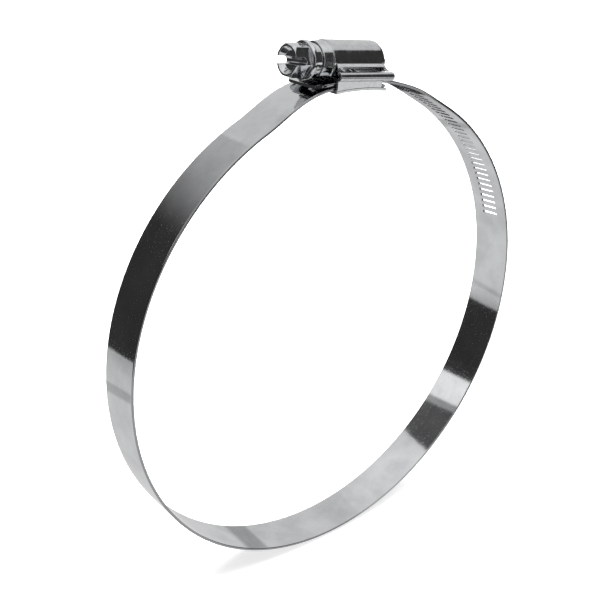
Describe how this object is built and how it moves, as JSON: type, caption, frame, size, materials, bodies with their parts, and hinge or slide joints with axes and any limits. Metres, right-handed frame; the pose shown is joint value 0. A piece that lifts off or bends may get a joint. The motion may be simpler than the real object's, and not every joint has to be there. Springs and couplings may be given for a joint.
{
  "type": "hose clamp",
  "caption": "Worm-drive hose clamp: a slotted steel strip bent into a ring, closed by a slotted hex-head worm screw in a pressed housing on a rolled saddle.",
  "frame": {"origin": "centre of the ring, in the middle plane of the strip", "axes": "+Y along the ring's axis, +Z from the ring's centre to the housing, screw head towards -X"},
  "size_m": [0.1294, 0.0156, 0.1408],
  "materials": {
    "band_steel": "bright rolled stainless strip",
    "housing_steel": "pressed and tumbled stainless",
    "saddle_steel": "pressed stainless",
    "screw_plating": "bright zinc plate"
  },
  "bodies": {
    "frame": {"band_fixed_side": "band_steel", "housing": "housing_steel", "saddle": "saddle_steel"},
    "worm": {"worm_screw": "screw_plating"},
    "band_lower": {"band_lower_side": "band_steel"},
    "band_free": {"band_free_side": "band_steel"}
  },
  "joints": [
    {"name": "flex_left", "type": "hinge", "parent": "frame", "child": "band_lower", "pos_m": [-0.06435, 0, 0], "axis": [0, 1, 0], "range_deg": [-2.81, 0.94]},
    {"name": "flex_right", "type": "hinge", "parent": "band_lower", "child": "band_free", "pos_m": [0.06435, 0, 0], "axis": [0, 1, 0], "range_deg": [-2.5, 0.9]},
    {"name": "screw_turn", "type": "hinge", "parent": "frame", "child": "worm", "pos_m": [0.00026, 0, 0.07038], "axis": [0.9976, 0, -0.0698], "range_deg": [-361, 1081]}
  ],
  "couplings": [
    {"joint": "screw_turn", "follows": "flex_left", "ratio": -383.97},
    {"joint": "flex_right", "follows": "flex_left", "ratio": 0.86488}
  ]
}
